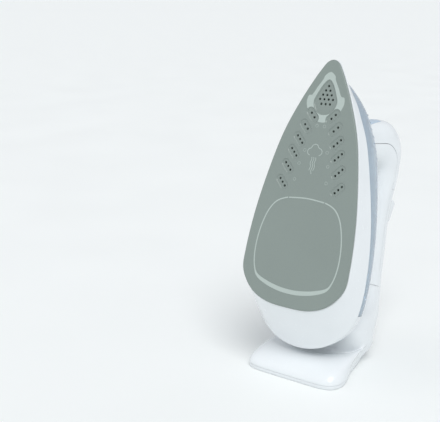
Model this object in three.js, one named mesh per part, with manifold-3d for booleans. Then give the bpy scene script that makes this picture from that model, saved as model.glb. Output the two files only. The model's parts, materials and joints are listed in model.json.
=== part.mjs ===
// Steam iron, standing on its heel rest with the soleplate leaning back.
// Millimetres. +Z is up, +X is the iron's right side, +Y runs from the soleplate to the handle.
//
// The iron's own frame, used for everything but the heel, has x across, t up from the
// ironing face to the handle, and s along the soleplate from its rear edge to its tip.

import * as THREE from 'three';
import { mergeVertices } from 'three/addons/utils/BufferGeometryUtils.js';
import Module from 'manifold-3d';

const wasm = await Module();
wasm.setup();

// ---------------------------------------------------------------- driving dimensions

const LEAN = THREE.MathUtils.degToRad(17.91); // soleplate's lean back from upright
const SOLE_REAR_HEIGHT = 71.3; // from the floor to the soleplate's rear edge
const HEEL_FRONT = 3; // heel's front edge behind the soleplate's rear edge
const MIDDLE_Y = 90.9; // middle of the whole iron, measured from the soleplate's rear edge
const GAP = 0.3; // between pieces that touch
const SOLE_LENGTH = 230;
const WIDEST_S = 45; // where the soleplate is widest
const HALF_WIDTH = 56.3; // there
const PLATE = 2.3; // thickness of the ironing plate's edge
const CASTING_TOP = 10; // top of the cast chamber walls
const CHAMBER_FLOOR = 4;
const TANK_TOP = 58;
const DECK_TOP = 62.7;
const HOUSING_CUT = 5; // the tank ends and the rear housing begins at this s
const WALL = 2.4; // plastic mouldings
const HEEL_BASE = 4; // thickness of the heel's base cover
const HEEL_CREST = 20; // height of the heel's crest
const COLUMN_Y = 70; // middle of the column's foot behind the heel's front edge

const OUTLINE_POINTS = 44;
const SECTION_POINTS = 24;

const DIAL = { s: 74, radius: 20, bottom: DECK_TOP + GAP, height: 8 };
const BUTTON = { rear: 98, reach: 23, halfWidth: 16.5, pivotT: 131, under: 2, lowT: 137.4 };
const PUMP = { s: 112, x: 8, radius: 5.7, bottom: 108.5, top: 121 };
const ROD = { s: 160, radius: 1.8, bottom: 12.4, top: 112 };
const SLIDER = { s: 149, halfLength: 5, halfWidth: 7, travel: 8 };
const FILLER = { bottom: 74, top: 94, halfWidth: 9 };
const ELBOW = { mouthT: 84, mouthS: 183.4, bend: 11.5, radius: 7.2 };
const NOZZLE = { t: 68, s: 185, radius: 3.4 };
const GLAND = { behind: 121, height: 50, radius: 7, sleeve: 4.4, reach: 14 };
const REAR_COVER = { halfWidth: 15, low: 28, high: 63 };

// ---------------------------------------------------------------- solids

function toSolid(geometry) {
  const bare = geometry.clone();
  bare.deleteAttribute('normal');
  bare.deleteAttribute('uv');
  const merged = mergeVertices(bare, 1e-4);
  return new wasm.Manifold(new wasm.Mesh({
    numProp: 3,
    vertProperties: new Float32Array(merged.attributes.position.array),
    triVerts: new Uint32Array(merged.index.array),
  }));
}

function toGeometry(solid) {
  const mesh = solid.getMesh();
  const geometry = new THREE.BufferGeometry();
  geometry.setAttribute('position', new THREE.BufferAttribute(new Float32Array(mesh.vertProperties), 3));
  geometry.setIndex(new THREE.BufferAttribute(new Uint32Array(mesh.triVerts), 1));
  geometry.computeVertexNormals();
  return geometry;
}

function cut(base, ...tools) {
  return toGeometry(tools.reduce((solid, tool) => solid.subtract(toSolid(tool)), toSolid(base)));
}

function join(base, ...others) {
  return toGeometry(others.reduce((solid, other) => solid.add(toSolid(other)), toSolid(base)));
}

function common(base, other) {
  return toGeometry(toSolid(base).intersect(toSolid(other)));
}

// The unit normal of a closed ring of points, by the right-hand rule.
function ringNormal(ring) {
  const normal = new THREE.Vector3();
  ring.forEach((point, i) => {
    normal.add(point.clone().cross(ring[(i + 1) % ring.length]));
  });
  return normal.normalize();
}

function ringCentre(ring) {
  return ring.reduce((sum, point) => sum.add(point), new THREE.Vector3()).divideScalar(ring.length);
}

// Triangles that close a ring, facing along `outward`.
function capFaces(ring, first, outward) {
  const centre = ringCentre(ring);
  const normal = ringNormal(ring.map((point) => point.clone().sub(centre)));
  const u = ring[0].clone().sub(centre);
  u.addScaledVector(normal, -u.dot(normal)).normalize();
  const v = normal.clone().cross(u);
  const flat = ring.map((point) => {
    const arm = point.clone().sub(centre);
    return new THREE.Vector2(arm.dot(u), arm.dot(v));
  });
  const flip = normal.dot(outward) < 0;
  return THREE.ShapeUtils.triangulateShape(flat, []).flatMap(([a, b, c]) => (
    flip ? [first + c, first + b, first + a] : [first + a, first + b, first + c]
  ));
}

// A closed skin through rings that each have the same number of points.
function loft(rings) {
  const count = rings[0].length;
  const last = rings.length - 1;
  const ahead = ringCentre(rings[1]).sub(ringCentre(rings[0]));
  const centred = rings[0].map((point) => point.clone().sub(ringCentre(rings[0])));
  const forward = ringNormal(centred).dot(ahead) > 0;
  const faces = capFaces(rings[0], 0, ahead.clone().negate());
  const away = ringCentre(rings[last]).sub(ringCentre(rings[last - 1]));
  faces.push(...capFaces(rings[last], last * count, away));
  for (let r = 0; r < last; r++) {
    for (let i = 0; i < count; i++) {
      const a = r * count + i;
      const b = r * count + (i + 1) % count;
      const quad = [a, b, b + count, a, b + count, a + count];
      faces.push(...(forward ? quad : quad.reverse()));
    }
  }
  const geometry = new THREE.BufferGeometry().setFromPoints(rings.flat());
  geometry.setIndex(faces);
  geometry.computeVertexNormals();
  return geometry;
}

// A box given by its lowest and highest corners.
function box(low, high) {
  const size = high.map((value, i) => value - low[i]);
  const centre = high.map((value, i) => (value + low[i]) / 2);
  return new THREE.BoxGeometry(...size).translate(...centre);
}

// A cylinder that stands along t, the y axis of the iron's own frame.
function post(x, s, radius, bottom, top, sides = 20) {
  const geometry = new THREE.CylinderGeometry(radius, radius, top - bottom, sides);
  return geometry.translate(x, (bottom + top) / 2, s);
}

// A tube standing along t, with a hole through it.
function sleeve(x, s, outer, inner, bottom, top, sides = 20) {
  const profile = [[inner, bottom], [outer, bottom], [outer, top], [inner, top], [inner, bottom]];
  const points = profile.map(([radius, height]) => new THREE.Vector2(radius, height));
  return new THREE.LatheGeometry(points, sides).translate(x, 0, s);
}

// A round rod or hose along a smooth curve.
function hose(points, radius, steps, sides = 8) {
  const section = new THREE.Shape();
  for (let i = 0; i < sides; i++) {
    const angle = 2 * Math.PI * i / sides;
    const corner = [radius * Math.cos(angle), radius * Math.sin(angle)];
    if (i === 0) section.moveTo(...corner);
    else section.lineTo(...corner);
  }
  const path = new THREE.CatmullRomCurve3(points.map((point) => new THREE.Vector3(...point)));
  return new THREE.ExtrudeGeometry(section, { steps, bevelEnabled: false, extrudePath: path });
}

// ---------------------------------------------------------------- outlines, seen from above the plate

// A smooth closed outline that is the same on both sides, from the points of its right half.
// The points run from the middle at one end to the middle at the other.
function outline(half) {
  const left = half.slice(1, -1).reverse().map(([x, s]) => [-x, s]);
  const points = [...half, ...left].map(([x, s]) => new THREE.Vector3(x, s, 0));
  const curve = new THREE.CatmullRomCurve3(points, true, 'centripetal');
  curve.arcLengthDivisions = 800;
  const right = [];
  for (let i = 0; i <= OUTLINE_POINTS / 2; i++) {
    const point = curve.getPointAt(i / OUTLINE_POINTS);
    right.push(new THREE.Vector2(point.x, point.y));
  }
  right[0].x = 0;
  right.at(-1).x = 0;
  return [...right, ...right.slice(1, -1).reverse().map((point) => new THREE.Vector2(-point.x, point.y))];
}

// The points of a quarter ellipse round the rear of an outline, ending in the middle.
function rearArc(centreS, depth, halfWidth) {
  return [20, 40, 60, 75, 90].map((degrees) => {
    const angle = THREE.MathUtils.degToRad(degrees);
    return [degrees === 90 ? 0 : halfWidth * Math.cos(angle), centreS - depth * Math.sin(angle)];
  });
}

// Moves every point of an outline outwards, square to the edge.
function grow(points, distance) {
  const count = points.length;
  return points.map((point, i) => {
    const along = points[(i + 1) % count].clone().sub(points[(i + count - 1) % count]).normalize();
    return new THREE.Vector2(point.x - along.y * distance, point.y + along.x * distance);
  });
}

// Scales an outline about its widest place, so its sides move in by `distance`.
function shrink(points, distance) {
  const scale = 1 - distance / HALF_WIDTH;
  return points.map((point) => new THREE.Vector2(point.x * scale, WIDEST_S + (point.y - WIDEST_S) * scale));
}

function blend(from, to, share) {
  return from.map((point, i) => point.clone().lerp(to[i], share));
}

// A ring in the iron's own frame. `height` is a number or a function of s.
function level(points, height) {
  const t = typeof height === 'function' ? height : () => height;
  return points.map((point) => new THREE.Vector3(point.x, t(point.y), point.y));
}

const soleOutline = outline([
  [0, SOLE_LENGTH], [5.6, 227.6], [11.1, 220], [16.9, 210], [26.9, 190], [38.8, 160], [48.1, 120],
  [54.2, 80], [HALF_WIDTH, WIDEST_S], [55.4, 28], [49, 16.6], [38, 7], [22, 1.3], [0, 0],
]);
const rimOutline = outline([
  [0, 217.5], [4.8, 215.5], [11, 210], [18, 202.8], [25.3, 193.3], [30.3, 183.8], [40.6, 160.5], [50, 120.5],
  [56.1, 80], [58.2, 46], [57.5, 15], ...rearArc(15, 51, 57.5),
]);
const topOutline = outline([
  [0, 184], [6.5, 181.5], [13.5, 174], [20.5, 162], [27, 146], [33, 118], [37.5, 80],
  [39, 46], [38.5, 20], ...rearArc(20, 36, 38.5),
]);

// Height of the edge between the skirt and the tank: low at the tip, high at the rear.
function waterline(s) {
  return 13 + 20.5 * (1 - THREE.MathUtils.smoothstep(s, 10, 212));
}

// ---------------------------------------------------------------- soleplate

// Steam vents sit in six mirrored pairs of oval recesses: [x, s, number of holes].
const VENT_RECESSES = [
  [10.9, 177.6, 2], [15.75, 166.4, 2], [20, 154.2, 3], [23.7, 141.8, 3], [27.2, 128, 3], [30, 112.7, 3],
];
const RECESS = { length: 15.5, width: 7.3, depth: 0.8, turn: THREE.MathUtils.degToRad(46) };
const HOLE_SPACING = { 2: 5.4, 3: 4.4 }; // by the number of holes in a recess
const VENT_RADIUS = 1.1;
const TIP_ROWS = { holes: [1, 2, 3, 4, 3], pitch: 4.55, firstS: 205.4, rowPitch: 4.2 };
const tipPad = outline([
  [0, 210.3], [3.5, 207.5], [9, 197.5], [11.4, 190.5], [9, 183.5], [4.5, 180.2], [0, 179.3],
]);

// A bar with round ends that stands along t.
function ovalPost(x, s, turn, length, width, bottom, top) {
  const reach = (length - width) / 2;
  const shape = new THREE.Shape();
  shape.absarc(reach, 0, width / 2, -Math.PI / 2, Math.PI / 2, false);
  shape.absarc(-reach, 0, width / 2, Math.PI / 2, 3 * Math.PI / 2, false);
  const bar = new THREE.ExtrudeGeometry(shape, { depth: top - bottom, bevelEnabled: false, curveSegments: 4 });
  bar.rotateX(Math.PI / 2).translate(0, top, 0);
  return bar.rotateY(-turn).translate(x, 0, s);
}

// The drop-shaped recess behind the tip, point forwards.
function tipRecess() {
  return loft([level(tipPad, -1), level(tipPad, RECESS.depth)]);
}

function ventHoles() {
  const spots = [];
  for (const [x, s, holes] of VENT_RECESSES) {
    for (let i = 0; i < holes; i++) {
      const along = (i - (holes - 1) / 2) * HOLE_SPACING[holes];
      spots.push([x + along * Math.cos(RECESS.turn), s + along * Math.sin(RECESS.turn)]);
    }
  }
  const both = spots.flatMap(([x, s]) => [[x, s], [-x, s]]);
  TIP_ROWS.holes.forEach((holes, row) => {
    for (let i = 0; i < holes; i++) {
      both.push([(i - (holes - 1) / 2) * TIP_ROWS.pitch, TIP_ROWS.firstS - row * TIP_ROWS.rowPitch]);
    }
  });
  return both.map(([x, s]) => post(x, s, VENT_RADIUS, -1, CHAMBER_FLOOR + 1, 6));
}

// The U of the heating element, in the casting's top outside the steam chamber.
const ELEMENT = { inset: 12.5, radius: 3.2, t: 8.4, terminal: 6, openPoints: 4 };

// It runs round the chamber from one rear side to the other, and both ends turn up.
function heatingElement(radius) {
  const middle = shrink(soleOutline, ELEMENT.inset);
  const first = OUTLINE_POINTS / 2 + ELEMENT.openPoints;
  const round = [];
  for (let i = 0; i <= OUTLINE_POINTS - 2 * ELEMENT.openPoints; i += 2) {
    const point = middle[(first + i) % OUTLINE_POINTS];
    round.push([point.x, ELEMENT.t, point.y]);
  }
  const tops = [round[0], round.at(-1)].map(([x, t, s]) => [x, t + ELEMENT.terminal, s + 2]);
  return hose([tops[0], ...round, tops[1]], radius, 34, 6);
}

function soleplate() {
  const plate = loft([
    level(grow(soleOutline, -0.8), 0),
    level(soleOutline, 0.8),
    level(soleOutline, PLATE),
  ]);
  const casting = loft([level(shrink(soleOutline, 6), PLATE - 0.5), level(shrink(soleOutline, 6.8), CASTING_TOP)]);
  const chamber = loft([
    level(shrink(soleOutline, 18), CHAMBER_FLOOR),
    level(shrink(soleOutline, 18), CASTING_TOP + 1),
  ]);
  const tools = VENT_RECESSES.flatMap(([x, s]) => [
    ovalPost(x, s, RECESS.turn, RECESS.length, RECESS.width, -1, RECESS.depth),
    ovalPost(-x, s, Math.PI - RECESS.turn, RECESS.length, RECESS.width, -1, RECESS.depth),
  ]);
  const groove = heatingElement(ELEMENT.radius + 3 * GAP);
  return cut(join(plate, casting), chamber, groove, tipRecess(), ...tools, ...ventHoles());
}


// ---------------------------------------------------------------- the body round the soleplate

// Rings from the skirt's lower edge out and up to the waterline.
function skirtRings(offset, below, above) {
  const bottom = grow(soleOutline, 0.7);
  const steps = [0, 0.3, 0.65, 1];
  const rings = steps.map((share) => {
    const points = grow(blend(bottom, rimOutline, share), offset);
    return points.map((point) => {
      const t = THREE.MathUtils.lerp(PLATE + GAP, waterline(point.y), share);
      return new THREE.Vector3(point.x, t, point.y);
    });
  });
  const lowest = rings[0].map((point) => point.clone().setY(point.y - below));
  const highest = rings.at(-1).map((point) => point.clone().setY(point.y + above));
  return [...(below ? [lowest] : []), ...rings, ...(above ? [highest] : [])];
}

function skirt() {
  return cut(loft(skirtRings(0, 0, 0)), loft(skirtRings(-WALL, 3, 3)));
}

// Rings from the waterline up and in to the tank's flat top.
function shoulderRings(inset, top, below) {
  const rings = [0, 20, 40, 60, 78, 90].map((degrees) => {
    const angle = THREE.MathUtils.degToRad(degrees);
    const points = grow(blend(rimOutline, topOutline, 1 - Math.cos(angle)), -inset);
    return points.map((point) => {
      const start = waterline(point.y) + GAP;
      return new THREE.Vector3(point.x, start + (top - start) * Math.sin(angle), point.y);
    });
  });
  const lowest = rings[0].map((point) => point.clone().setY(point.y - below));
  return below ? [lowest, ...rings] : rings;
}

function shoulder() {
  return loft(shoulderRings(0.4, TANK_TOP, 0));
}

function frontOf(s) {
  return box([-80, -10, s], [80, 90, 260]);
}

function tankUpper() {
  const outer = common(shoulder(), frontOf(HOUSING_CUT + GAP / 2));
  const cavity = common(loft(shoulderRings(0.4 + WALL, TANK_TOP - WALL, 3)), frontOf(HOUSING_CUT + WALL));
  const wellWall = join(post(0, DIAL.s, 14, 16, 26, 16), post(0, DIAL.s, 7, 24, TANK_TOP - 1, 16));
  const rodWall = post(0, ROD.s, 5, 24.6, TANK_TOP - 1, 12);
  const well = join(post(0, DIAL.s, 12.4, 10, 24.2, 16), post(0, DIAL.s, 5, 20, TANK_TOP + 5, 16));
  const rodHole = post(0, ROD.s, 2.6, 20, TANK_TOP + 5, 12);
  const mouth = post(0, ELBOW.mouthS - ELBOW.bend, 6, TANK_TOP - 6, TANK_TOP + 5, 16);
  return cut(join(cut(outer, cavity), wellWall, rodWall), well, rodHole, mouth);
}

// The tank's floor, welded to the upper moulding.
function tankBase() {
  const inner = shrink(rimOutline, 8);
  const tray = loft([level(inner, 17.5), level(inner, 19.3)]);
  const tools = [
    post(0, DIAL.s, 14.4, 0, 40, 16),
    post(0, ROD.s, 5, 0, 40, 12),
    box([-80, 0, -80], [80, 60, HOUSING_CUT + WALL]),
  ];
  return cut(tray, ...tools);
}

function heatShield() {
  const edge = shrink(soleOutline, 5.5);
  const plate = loft([level(edge, 12), level(edge, 13)]);
  return cut(plate, post(0, DIAL.s, 13, 0, 40), post(0, ROD.s, 7, 0, 40), box([-46, 5, -20], [46, 30, 36]));
}

function chamberCover() {
  const edge = shrink(soleOutline, 16.8);
  const plate = loft([level(edge, CASTING_TOP + GAP), level(edge, CASTING_TOP + 1.5)]);
  return cut(plate, post(0, ROD.s, 2.6, 0, 40, 12));
}

// ---------------------------------------------------------------- handle, column and heel

// Turns a place behind the heel's front edge and above the floor into [s, t].
function standing(behind, height) {
  const y = behind + HEEL_FRONT;
  const z = height - SOLE_REAR_HEIGHT;
  return [y * Math.sin(LEAN) + z * Math.cos(LEAN), y * Math.cos(LEAN) - z * Math.sin(LEAN)];
}

// Cross-sections from the foot of the front pillar, over the handle and down the column.
// Each has its outer point [s, t], its inner point [s, t] and its half width.
const STATIONS = [
  [[182, 63], [146, 63], 15],
  [[191, 84], [147, 80], 18],
  [[195.5, 109.5], [147, 91], 21.5],
  [[181.5, 131.5], [144, 98], 22.6],
  [[155, 137.7], [138, 101], 22],
  [[138, 136.2], [130, 102.5], 22],
  [[121, 134.6], [118, 103], 21.5],
  [[97, 136.6], [96, 103.5], 21],
  [[70, 142], [70, 105], 21],
  [[49, 142.2], [48, 106], 22.5],
  [[29.5, 138.4], [32, 104], 26.5],
  [standing(126, 41), [23, 97], 32],
  [standing(120.5, 32), [14, 80], 36.5],
  [standing(116, 25.5), [7, 60], 39.5],
  [standing(111.5, 18.5), [-8, 50], 41],
  [standing(107.5, 11.5), standing(49, 30), 41],
  [standing(104, 6), standing(50, 14), 36],
  [standing(102.5, HEEL_BASE + GAP), standing(50, HEEL_BASE + GAP), 33],
];
const CAP_END = 5.3;
const COLUMN_START = 9.9;
const SQUARENESS = 2.5;

const outerLine = new THREE.CatmullRomCurve3(
  STATIONS.map(([[s, t], , halfWidth]) => new THREE.Vector3(s, t, halfWidth)));
const innerLine = new THREE.CatmullRomCurve3(
  STATIONS.map(([, [s, t]]) => new THREE.Vector3(s, t, 0)));

function power(value) {
  return Math.sign(value) * Math.abs(value) ** (2 / SQUARENESS);
}

// A point on the section at station u: `across` runs -1 to 1 in width, `out` -1 to 1 in depth.
function sectionPoint(u, across, out, wall) {
  const outer = outerLine.getPoint(u / (STATIONS.length - 1));
  const inner = innerLine.getPoint(u / (STATIONS.length - 1));
  const depth = Math.hypot(outer.x - inner.x, outer.y - inner.y) / 2;
  const reach = out * (depth - wall) / depth;
  const s = (outer.x + inner.x) / 2 + reach * (outer.x - inner.x) / 2;
  const t = (outer.y + inner.y) / 2 + reach * (outer.y - inner.y) / 2;
  return new THREE.Vector3(across * (outer.z - wall), t, s);
}

function fullSection(u, wall) {
  const points = [];
  for (let i = 0; i < SECTION_POINTS; i++) {
    const angle = 2 * Math.PI * i / SECTION_POINTS;
    points.push(sectionPoint(u, power(Math.cos(angle)), power(Math.sin(angle)), wall));
  }
  return points;
}

// Half of a section, on the outer side (1) or the inner side (-1), closed at `split`,
// a depth measured from the middle as a share of the half depth.
function halfSection(u, side, wall, split) {
  const points = [];
  const steps = SECTION_POINTS / 2;
  for (let i = 0; i <= steps; i++) {
    const angle = Math.PI * i / steps;
    const out = i === 0 || i === steps ? split : power(Math.sin(angle));
    points.push(sectionPoint(u, power(Math.cos(angle)), side * out, wall));
  }
  return points;
}

// Stations from one to another, with every whole one between.
function stationsBetween(from, to) {
  const between = [];
  for (let u = Math.ceil(from + 0.15); u < to - 0.15; u++) between.push(u);
  return [from, ...between, to];
}

// Rings moved on past both ends, so that a cavity opens there.
function pastEnds(rings, distance) {
  const shifted = (ring, next) => {
    const step = ringCentre(ring).sub(ringCentre(next)).setLength(distance);
    return ring.map((point) => point.clone().add(step));
  };
  return [shifted(rings[0], rings[1]), ...rings, shifted(rings.at(-1), rings.at(-2))];
}

function halfShell(from, to, side) {
  const stations = stationsBetween(from, to);
  const skin = loft(stations.map((u) => halfSection(u, side, 0, 0.01)));
  const cavity = stations.map((u) => halfSection(u, side, WALL, -0.2));
  return cut(skin, loft(pastEnds(cavity, 4)));
}


// Geometry made in the standing frame (x across, y behind the soleplate's rear edge,
// z above the floor), turned into the iron's own frame.
const leaning = new THREE.Matrix4().makeRotationX(-LEAN).setPosition(0, 0, SOLE_REAR_HEIGHT);
const toOwnFrame = leaning.clone().invert();

function fromStanding(geometry) {
  return geometry.applyMatrix4(toOwnFrame);
}

// The heel's outlines start at the front, so `grow` moves their points inwards.
const heelFoot = outline([
  [0, 0], [20, 0.1], [37, 0.9], [45.6, 4.4], [49.4, 11], [50, 20], [46.2, 34], [41, 48], [37, 63],
  [33, 78], [26.5, 92], [15, 101], [0, 104],
]);
const heelCrest = outline([
  [0, 25], [11.5, 26.5], [22.2, 31], [31.5, 38], [38.5, 47.2], [43, 58], [43.6, 68], [40.5, 80],
  [35.5, 92], [27, 103], [14.5, 110], [0, 112.5],
]);

const DIP = { middle: 31.5, tube: 10.3, height: 25 };

function floorRing(points, height) {
  return points.map((point) => new THREE.Vector3(point.x, point.y + HEEL_FRONT, height));
}

// The heel's rounded slab, with a ring-shaped dip round the foot of the column.
function heelSlab() {
  const low = HEEL_BASE + GAP;
  const rings = [0, 25, 48, 70, 90].map((degrees) => {
    const angle = THREE.MathUtils.degToRad(degrees);
    const points = blend(heelFoot, heelCrest, 1 - Math.cos(angle));
    return floorRing(points, low + (HEEL_CREST - low) * Math.sin(angle));
  });
  const profile = [];
  for (let i = 0; i <= 10; i++) {
    const angle = 2 * Math.PI * (i % 10) / 10;
    profile.push(new THREE.Vector2(DIP.middle + DIP.tube * Math.cos(angle), DIP.height + DIP.tube * Math.sin(angle)));
  }
  const dip = new THREE.LatheGeometry(profile, 32).rotateX(Math.PI / 2);
  dip.translate(0, COLUMN_Y + HEEL_FRONT, 0);
  return cut(loft(rings), dip);
}

function rearHousingBlank() {
  const stations = stationsBetween(COLUMN_START + 0.02, STATIONS.length - 1);
  const leg = loft(stations.map((u) => fullSection(u, 0)));
  const legCavity = loft(pastEnds(stations.map((u) => fullSection(u, WALL + 0.4)), 4));
  const bodyRoom = box([-80, -10, HOUSING_CUT - GAP / 2], [80, DECK_TOP + GAP, 260]);
  const bodyRear = cut(shoulder(), frontOf(HOUSING_CUT - GAP / 2));
  const bodyCavity = cut(loft(shoulderRings(0.4 + WALL, TANK_TOP - WALL, 3)), frontOf(HOUSING_CUT - WALL));
  const foot = grow(heelFoot, 3);
  const slabCavity = fromStanding(loft([floorRing(foot, 0), floorRing(foot, 10)]));
  const solid = join(cut(leg, bodyRoom), bodyRear, fromStanding(heelSlab()));
  return cut(solid, legCavity, bodyCavity, slabCavity);
}

function rearCoverRoom(margin) {
  const side = REAR_COVER.halfWidth + margin;
  const front = HEEL_FRONT + 110;
  return fromStanding(box([-side, front, REAR_COVER.low - margin], [side, front + 60, REAR_COVER.high + margin]));
}

const GLAND_Y = GLAND.behind + HEEL_FRONT;

function glandRoom() {
  const ball = new THREE.SphereGeometry(GLAND.radius + 0.5, 14, 10).translate(0, GLAND_Y, GLAND.height);
  const slot = box([-5.2, GLAND_Y, GLAND.height - 10], [5.2, GLAND_Y + 30, GLAND.height + 10]);
  return fromStanding(join(ball, slot));
}

function rearHousing(blank) {
  return cut(blank, rearCoverRoom(GAP / 2), glandRoom());
}

function rearCover(blank) {
  return cut(common(blank, rearCoverRoom(-GAP / 2)), glandRoom());
}

function heelBaseCover() {
  const cover = loft([
    floorRing(grow(heelFoot, 1.4), 0),
    floorRing(grow(heelFoot, 0.4), 0.9),
    floorRing(grow(heelFoot, 0.2), HEEL_BASE),
  ]);
  const holes = BASE_SCREWS.flatMap(([x, y]) => [
    upright(x, y, 2.1, -1, HEEL_BASE + 1),
    upright(x, y, 4.2, -1, 2),
  ]);
  return cut(cover, ...holes);
}

// A cylinder that stands on the floor, along z.
function upright(x, y, radius, bottom, top, sides = 16) {
  const geometry = new THREE.CylinderGeometry(radius, radius, top - bottom, sides);
  return geometry.rotateX(Math.PI / 2).translate(x, y, (bottom + top) / 2);
}

const BASE_SCREWS = [[-28, 50], [28, 50]];

// A self-tapping screw with its head down.
function screw(x, y, headBottom, length) {
  const head = upright(x, y, 3.6, headBottom, headBottom + 1.6);
  const shank = upright(x, y, 1.6, headBottom + 1, headBottom + length);
  const slot = box([x - 0.4, y - 2.6, headBottom - 1], [x + 0.4, y + 2.6, headBottom + 0.7]);
  return cut(join(head, shank), slot);
}

// ---------------------------------------------------------------- deck, cap and handle

function topDeck() {
  const plate = loft([level(topOutline, TANK_TOP + GAP), level(grow(topOutline, -1.2), DECK_TOP)]);
  const front = common(plate, frontOf(HOUSING_CUT + GAP / 2));
  return cut(front, post(0, DIAL.s, 4, 40, 80), post(0, ROD.s, 3, 40, 80, 12), post(0, ELBOW.mouthS - ELBOW.bend, 8, 40, 80));
}

function fillerRoom(margin) {
  return box(
    [-FILLER.halfWidth - margin, FILLER.bottom - margin, 175],
    [FILLER.halfWidth + margin, FILLER.top + margin, 215]);
}

function frontCapBlank() {
  return halfShell(0, CAP_END, 1);
}

function frontCap(blank) {
  const slot = box([-2.4, 120, SLIDER.s - 3], [2.4, 150, SLIDER.s + SLIDER.travel + 3]);
  const nozzleHole = new THREE.CylinderGeometry(3.8, 3.8, 20, 16).rotateX(Math.PI / 2);
  nozzleHole.translate(0, NOZZLE.t, NOZZLE.s);
  return cut(blank, fillerRoom(GAP / 2), slot, nozzleHole);
}

function fillerLid(blank) {
  return common(blank, fillerRoom(-GAP / 2));
}

// A flat shape in the s, t plane, thick from one x to another.
function sideProfile(points, fromX, toX) {
  const shape = new THREE.Shape(points.map(([s, t]) => new THREE.Vector2(s, t)));
  const slab = new THREE.ExtrudeGeometry(shape, { depth: toX - fromX, bevelEnabled: false });
  return slab.rotateY(-Math.PI / 2).translate(toX, 0, 0);
}

function buttonRoom() {
  const side = BUTTON.halfWidth + 0.5;
  return box([-side, 126, BUTTON.rear - 1], [side, 160, BUTTON.rear + BUTTON.reach + 0.6]);
}

function lensRoom(margin) {
  return box([-3 - margin, 130, 54 - margin], [3 + margin, 150, 66 + margin]);
}

function handleUpperBlank() {
  return halfShell(CAP_END + 0.02, COLUMN_START, 1);
}

// The wedge-shaped thumb button on one side of the handle's top. It pivots at its rear end,
// and its front face is an arc about that pivot, so it clears its window when it is pressed.
function thumbButton(side) {
  const low = BUTTON.pivotT - BUTTON.under;
  const front = [-5, 0, 8, 16, 23, 27].map((degrees) => {
    const angle = THREE.MathUtils.degToRad(degrees);
    return [BUTTON.rear + BUTTON.reach * Math.cos(angle), BUTTON.pivotT + BUTTON.reach * Math.sin(angle)];
  });
  const [topS, topT] = front.at(-1);
  const wedge = [
    [BUTTON.rear, low], ...front, [topS - 1.4, topT + 0.5], [BUTTON.rear + 2, BUTTON.lowT],
    [BUTTON.rear, BUTTON.lowT - 1.4],
  ];
  return side > 0 ? sideProfile(wedge, GAP / 2, BUTTON.halfWidth) : sideProfile(wedge, -BUTTON.halfWidth, -GAP / 2);
}

function pumpBody(side) {
  const x = side * PUMP.x;
  const bore = post(x, PUMP.s, 4.3, PUMP.bottom + 1.5, PUMP.top + 1);
  return cut(post(x, PUMP.s, PUMP.radius, PUMP.bottom, PUMP.top), bore);
}

function pumpPiston(side) {
  const x = side * PUMP.x;
  return join(post(x, PUMP.s, 4, 115, 118), post(x, PUMP.s, 1.6, 117, BUTTON.pivotT - BUTTON.under - GAP, 12));
}

function steamSlider() {
  const knob = sideProfile([
    [SLIDER.s - 5, 138.3], [SLIDER.s + 5, 138.3], [SLIDER.s + 3.6, 141.2], [SLIDER.s + 1.5, 142.2],
    [SLIDER.s - 1.5, 142.2], [SLIDER.s - 3.6, 141.2],
  ], -SLIDER.halfWidth, SLIDER.halfWidth);
  return join(knob, box([-2, 128, SLIDER.s - 2.6], [2, 139, SLIDER.s + 2.6]));
}

function temperatureDial() {
  const shape = new THREE.Shape();
  const ribs = 30;
  for (let i = 0; i < 2 * ribs; i++) {
    const angle = Math.PI * i / ribs;
    const radius = DIAL.radius - (i % 2 ? 0 : 0.8);
    const corner = [radius * Math.cos(angle), radius * Math.sin(angle)];
    if (i === 0) shape.moveTo(...corner);
    else shape.lineTo(...corner);
  }
  const disc = new THREE.ExtrudeGeometry(shape, { depth: DIAL.height - 2, bevelEnabled: false });
  disc.rotateX(-Math.PI / 2).translate(0, DIAL.bottom, DIAL.s);
  const crown = post(0, DIAL.s, DIAL.radius - 3, DIAL.bottom + 1, DIAL.bottom + DIAL.height, 30);
  return join(disc, crown);
}

// An elbow from the mouth behind the filler lid down to the tank's top.
function fillerElbow() {
  const { mouthT, mouthS, bend } = ELBOW;
  const rings = (radius, past) => {
    const stops = [0, 30, 60, 90].map((degrees) => {
      const angle = THREE.MathUtils.degToRad(degrees);
      return [mouthT - bend + bend * Math.cos(angle), mouthS - bend * Math.sin(angle), angle];
    });
    stops.unshift([mouthT, mouthS + past + 0.5, 0]);
    stops.push([TANK_TOP + GAP - past, mouthS - bend, Math.PI / 2]);
    return stops.map(([t, s, angle]) => {
      const ring = [];
      for (let i = 0; i < 18; i++) {
        const turn = 2 * Math.PI * i / 18;
        const out = radius * Math.sin(turn);
        ring.push(new THREE.Vector3(radius * Math.cos(turn), t + out * Math.cos(angle), s - out * Math.sin(angle)));
      }
      return ring;
    });
  };
  return cut(loft(rings(ELBOW.radius, 0)), loft(rings(ELBOW.radius - 1.2, 3)));
}

function sprayNozzle() {
  const outside = new THREE.CylinderGeometry(2.2, NOZZLE.radius, 8.4, 16).rotateX(Math.PI / 2);
  const bore = new THREE.CylinderGeometry(0.7, 0.7, 20, 8).rotateX(Math.PI / 2);
  return cut(outside.translate(0, NOZZLE.t, NOZZLE.s), bore.translate(0, NOZZLE.t, NOZZLE.s));
}

function cordGland() {
  const ball = new THREE.SphereGeometry(GLAND.radius, 14, 10);
  const stub = new THREE.CylinderGeometry(GLAND.sleeve, GLAND.sleeve, GLAND.reach, 16).translate(0, GLAND.reach / 2, 0);
  const bore = new THREE.CylinderGeometry(3, 3, 3 * GLAND.reach, 12);
  return cut(join(ball, stub), bore).translate(0, GLAND_Y, GLAND.height);
}

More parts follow.
